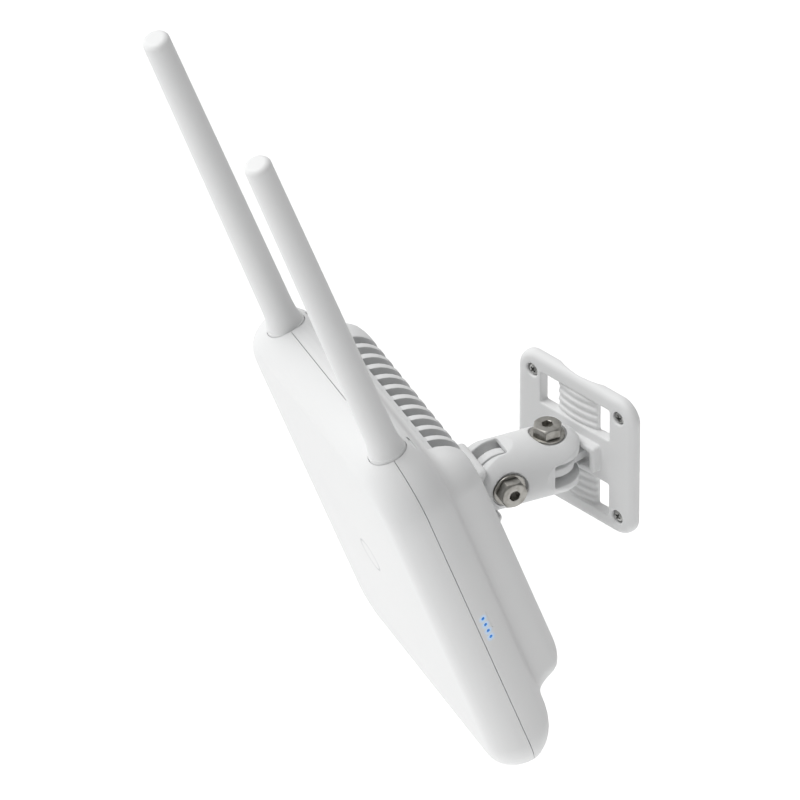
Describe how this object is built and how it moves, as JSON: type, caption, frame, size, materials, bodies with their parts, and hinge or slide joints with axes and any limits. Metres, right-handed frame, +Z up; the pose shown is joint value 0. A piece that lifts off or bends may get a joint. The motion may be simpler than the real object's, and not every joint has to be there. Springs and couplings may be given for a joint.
{
  "type": "outdoor wireless bridge",
  "caption": "Outdoor wireless bridge: flat radio panel with finned back and two rod antennas on a pan-and-tilt knuckle arm and a square wall or pole plate.",
  "frame": {"origin": "on the wall plane behind the mounting plate, midway between its four wall screws", "axes": "+Y into the wall, +Z up, +X to the right as seen from in front; the radio looks along -Y, panned 20 degrees and tilted 20 degrees down in the stored pose"},
  "size_m": [0.185, 0.2159, 0.3816],
  "materials": {
    "cover_plastic": "fine matt white moulding, UV-stable plastic",
    "painted_casting": "die-cast aluminium, satin off-white powder coat",
    "bolt_steel": "stainless steel, dull machined",
    "screw_steel": "zinc-plated steel",
    "circuit_board": "green solder mask on glass epoxy",
    "tinned_steel": "bright tinned steel sheet",
    "thermal_pad": "soft silicone gap filler",
    "brass": "machined brass",
    "light_guide": "clear light guide, lit blue",
    "rubber": "matt black silicone rubber"
  },
  "bodies": {
    "wall_mount": {"wall_plate": "painted_casting", "wall_screw_1": "screw_steel", "wall_screw_2": "screw_steel", "wall_screw_3": "screw_steel", "wall_screw_4": "screw_steel"},
    "arm": {"arm_barrel": "painted_casting", "pan_bolt": "bolt_steel", "pan_washer": "bolt_steel", "pan_nut": "bolt_steel", "tilt_bolt": "bolt_steel", "tilt_washer": "bolt_steel", "tilt_nut": "bolt_steel"},
    "radio_panel": {"antenna_left_socket": "brass", "antenna_right_socket": "brass", "array_board": "circuit_board", "board_screw_1": "screw_steel", "board_screw_2": "screw_steel", "board_screw_3": "screw_steel", "board_screw_4": "screw_steel", "bracket_screw_1": "screw_steel", "bracket_screw_2": "screw_steel", "bracket_screw_3": "screw_steel", "bracket_screw_4": "screw_steel", "coax_left": "rubber", "coax_right": "rubber", "cover_gasket": "rubber", "ethernet_jack": "tinned_steel", "front_cover": "cover_plastic", "ground_screw": "brass", "led_light_guide": "light_guide", "main_board": "circuit_board", "panel_bracket": "painted_casting", "port_bung": "rubber", "rear_housing": "painted_casting", "reset_switch": "tinned_steel", "shield_can_processor": "tinned_steel", "shield_can_radio": "tinned_steel", "thermal_pad_processor": "thermal_pad", "thermal_pad_radio": "thermal_pad", "vent_plug": "rubber"},
    "antenna_left": {"antenna_left_sleeve": "cover_plastic", "antenna_left_radiator": "circuit_board", "antenna_left_connector": "brass", "antenna_left_seal": "rubber"},
    "antenna_right": {"antenna_right_sleeve": "cover_plastic", "antenna_right_radiator": "circuit_board", "antenna_right_connector": "brass", "antenna_right_seal": "rubber"},
    "reset_key": {"reset_button": "rubber"}
  },
  "joints": [
    {"name": "pan", "type": "hinge", "parent": "wall_mount", "child": "arm", "pos_m": [0, -0.0238, 0], "axis": [0, 0, 1], "range_deg": [-20, 60]},
    {"name": "tilt", "type": "hinge", "parent": "arm", "child": "radio_panel", "pos_m": [-0.0092, -0.04908, 0], "axis": [0.9397, -0.342, 0], "range_deg": [-35, 20]},
    {"name": "antenna_left_pull", "type": "slide", "parent": "radio_panel", "child": "antenna_left", "axis": [-0.117, -0.3214, 0.9397], "range_m": [0, 0.03]},
    {"name": "antenna_right_pull", "type": "slide", "parent": "radio_panel", "child": "antenna_right", "axis": [-0.117, -0.3214, 0.9397], "range_m": [0, 0.03]},
    {"name": "reset_press", "type": "slide", "parent": "radio_panel", "child": "reset_key", "axis": [-0.117, -0.3214, 0.9397], "range_m": [0, 0.0008], "stiffness_N_per_m": 600}
  ]
}
